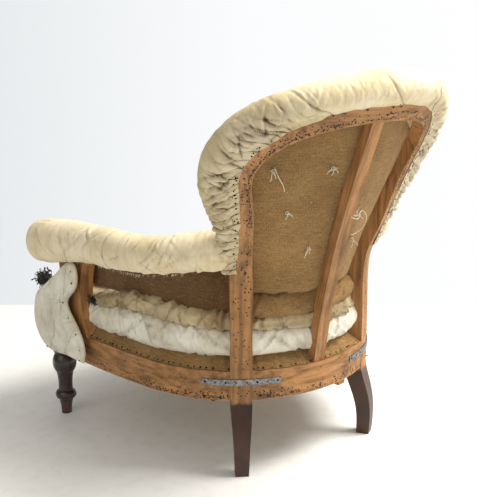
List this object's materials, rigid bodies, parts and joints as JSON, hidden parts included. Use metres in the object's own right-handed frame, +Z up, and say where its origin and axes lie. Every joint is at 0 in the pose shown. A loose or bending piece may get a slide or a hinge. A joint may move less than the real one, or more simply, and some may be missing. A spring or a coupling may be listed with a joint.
{
  "type": "armchair",
  "caption": "Low tub armchair with a spoon back, stripped to its wooden frame, springs, calico and hessian.",
  "frame": {"origin": "on the floor, under the middle of the bounding box", "axes": "+Z up, -Y the way the chair faces, +X the sitter's left"},
  "size_m": [0.809, 0.8298, 0.8443],
  "materials": {
    "raw_beech": "raw, aged, satin",
    "stained_beech": "dark stained and polished",
    "hidden_beech": "raw",
    "mending_steel": "zinc plated, dull",
    "spring_steel": "bare",
    "tack_iron": "blued",
    "jute_web": "coarse weave",
    "hessian": "loose weave",
    "calico": "plain weave, unbleached",
    "white_calico": "plain weave",
    "twine": "laid twine",
    "horsehair": "curled fibre"
  },
  "bodies": {
    "root": {"arm_pad_left": "calico", "arm_pad_right": "calico", "arm_post_left": "raw_beech", "arm_post_right": "raw_beech", "arm_rail_left": "hidden_beech", "arm_rail_right": "hidden_beech", "back_hessian": "hessian", "back_pad": "calico", "back_shoulder_left": "raw_beech", "back_shoulder_right": "raw_beech", "back_splat": "raw_beech", "corner_blocks": "hidden_beech", "crest_rail": "raw_beech", "crest_roll": "calico", "frame_tacks": "tack_iron", "front_facing_left": "white_calico", "front_facing_right": "white_calico", "front_leg_left": "stained_beech", "front_leg_right": "stained_beech", "front_seat_rail": "raw_beech", "horsehair_tuft": "horsehair", "inner_arm_hessian_left": "hessian", "inner_arm_hessian_right": "hessian", "inner_arm_pad_left": "calico", "inner_arm_pad_right": "calico", "mending_plate_left": "mending_steel", "mending_plate_right": "mending_steel", "mending_plate_screws": "mending_steel", "rail_tacks": "tack_iron", "rear_leg_stile_left": "raw_beech", "rear_leg_stile_right": "raw_beech", "rear_seat_rail": "raw_beech", "seat_crown_pad": "calico", "seat_first_stuffing": "white_calico", "seat_front_border": "white_calico", "seat_rear_pad": "hessian", "seat_second_stuffing": "calico", "seat_springs": "spring_steel", "seat_webbing_crosswise": "jute_web", "seat_webbing_lengthwise": "jute_web", "side_seat_rail_left": "raw_beech", "side_seat_rail_right": "raw_beech", "spring_hessian": "hessian", "spring_lashing": "twine", "tufting_ties": "twine", "under_rail_block": "raw_beech", "wing_roll_left": "calico", "wing_roll_right": "calico"}
  },
  "joints": []
}
